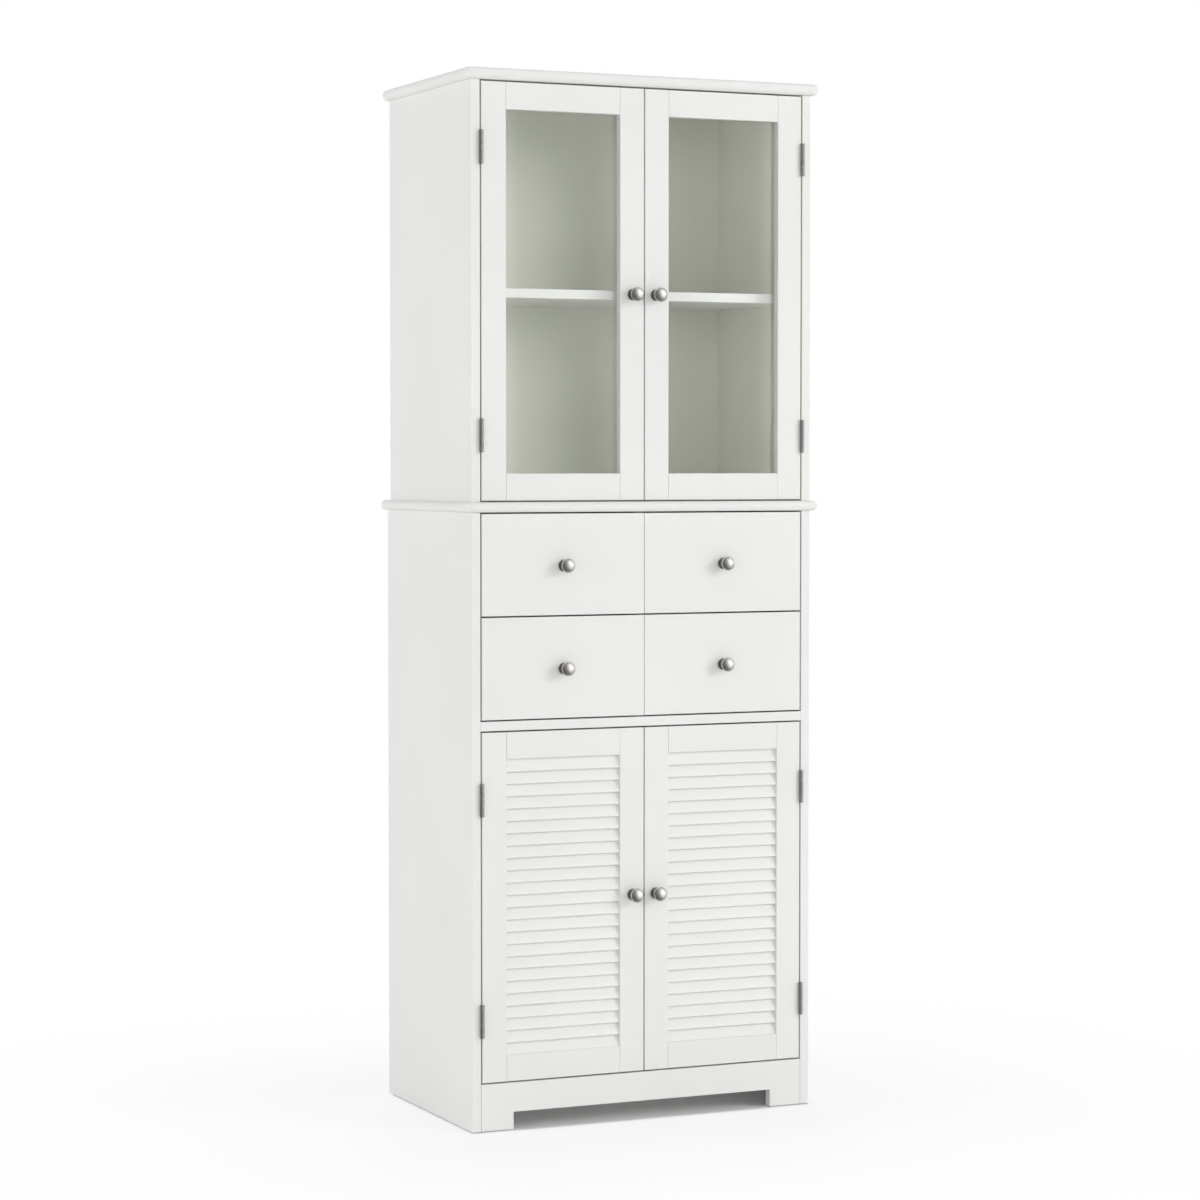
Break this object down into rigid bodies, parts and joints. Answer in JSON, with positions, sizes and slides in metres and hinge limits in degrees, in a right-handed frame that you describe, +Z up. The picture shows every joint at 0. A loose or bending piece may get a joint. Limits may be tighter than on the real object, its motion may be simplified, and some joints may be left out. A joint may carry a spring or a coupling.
{
  "type": "display cabinet",
  "caption": "Tall white free-standing cabinet: glazed doors over a shelf, inset drawers, louvred doors, rounded top and waist boards, apron feet and metal knobs",
  "frame": {"origin": "centre of the bounding box at floor level", "axes": "the doors face -Y, +X is to the right of someone facing them, +Z is up"},
  "size_m": [0.624, 0.4, 1.68],
  "materials": {
    "painted_board": "satin white paint on board",
    "back_board": "white foil on thin board",
    "drawer_board": "white foil on board",
    "clear_glass": "clear float glass",
    "satin_nickel": "satin nickel plating",
    "plated_steel": "zinc plating",
    "runner_plastic": "moulded",
    "catch_plastic": "moulded"
  },
  "bodies": {
    "carcass": {"top_board": "painted_board", "waist_board": "painted_board", "upper_side_left": "painted_board", "upper_side_right": "painted_board", "lower_side_left": "painted_board", "lower_side_right": "painted_board", "upper_back_panel": "back_board", "lower_back_panel": "back_board", "display_shelf": "painted_board", "lower_shelf": "painted_board", "shelf_pins": "satin_nickel", "drawer_bay_floor": "painted_board", "drawer_partition": "painted_board", "bottom_board": "painted_board", "front_apron": "painted_board", "frame_hinge_leaves": "satin_nickel", "drawer_runners": "runner_plastic", "magnetic_catches": "catch_plastic"},
    "upper_left_door": {"upper_left_door_stiles": "painted_board", "upper_left_door_rails": "painted_board", "upper_left_door_glass": "clear_glass", "upper_left_door_glass_beads": "painted_board", "upper_left_door_hinge_leaves": "satin_nickel", "upper_left_door_knob": "satin_nickel", "upper_left_door_strike_plate": "plated_steel"},
    "lower_left_door": {"lower_left_door_stiles": "painted_board", "lower_left_door_rails": "painted_board", "lower_left_door_slats": "painted_board", "lower_left_door_hinge_leaves": "satin_nickel", "lower_left_door_knob": "satin_nickel", "lower_left_door_strike_plate": "plated_steel"},
    "upper_right_door": {"upper_right_door_stiles": "painted_board", "upper_right_door_rails": "painted_board", "upper_right_door_glass": "clear_glass", "upper_right_door_glass_beads": "painted_board", "upper_right_door_hinge_leaves": "satin_nickel", "upper_right_door_knob": "satin_nickel", "upper_right_door_strike_plate": "plated_steel"},
    "lower_right_door": {"lower_right_door_stiles": "painted_board", "lower_right_door_rails": "painted_board", "lower_right_door_slats": "painted_board", "lower_right_door_hinge_leaves": "satin_nickel", "lower_right_door_knob": "satin_nickel", "lower_right_door_strike_plate": "plated_steel"},
    "upper_left_drawer": {"upper_left_drawer_front": "painted_board", "upper_left_drawer_walls": "drawer_board", "upper_left_drawer_bottom": "drawer_board", "upper_left_drawer_knob": "satin_nickel"},
    "lower_left_drawer": {"lower_left_drawer_front": "painted_board", "lower_left_drawer_walls": "drawer_board", "lower_left_drawer_bottom": "drawer_board", "lower_left_drawer_knob": "satin_nickel"},
    "upper_right_drawer": {"upper_right_drawer_front": "painted_board", "upper_right_drawer_walls": "drawer_board", "upper_right_drawer_bottom": "drawer_board", "upper_right_drawer_knob": "satin_nickel"},
    "lower_right_drawer": {"lower_right_drawer_front": "painted_board", "lower_right_drawer_walls": "drawer_board", "lower_right_drawer_bottom": "drawer_board", "lower_right_drawer_knob": "satin_nickel"}
  },
  "joints": [
    {"name": "upper_left_door_hinge", "type": "hinge", "parent": "carcass", "child": "upper_left_door", "pos_m": [-0.2838, -0.1776, 1.3305], "axis": [0, 0, -1], "range_deg": [0, 170]},
    {"name": "lower_left_door_hinge", "type": "hinge", "parent": "carcass", "child": "lower_left_door", "pos_m": [-0.2838, -0.1776, 0.356], "axis": [0, 0, -1], "range_deg": [0, 170]},
    {"name": "upper_right_door_hinge", "type": "hinge", "parent": "carcass", "child": "upper_right_door", "pos_m": [0.2838, -0.1776, 1.3305], "axis": [0, 0, 1], "range_deg": [0, 170]},
    {"name": "lower_right_door_hinge", "type": "hinge", "parent": "carcass", "child": "lower_right_door", "pos_m": [0.2838, -0.1776, 0.356], "axis": [0, 0, 1], "range_deg": [0, 170]},
    {"name": "upper_left_drawer_slide", "type": "slide", "parent": "carcass", "child": "upper_left_drawer", "axis": [0, -1, 0], "range_m": [0, 0.2]},
    {"name": "lower_left_drawer_slide", "type": "slide", "parent": "carcass", "child": "lower_left_drawer", "axis": [0, -1, 0], "range_m": [0, 0.2]},
    {"name": "upper_right_drawer_slide", "type": "slide", "parent": "carcass", "child": "upper_right_drawer", "axis": [0, -1, 0], "range_m": [0, 0.2]},
    {"name": "lower_right_drawer_slide", "type": "slide", "parent": "carcass", "child": "lower_right_drawer", "axis": [0, -1, 0], "range_m": [0, 0.2]}
  ]
}
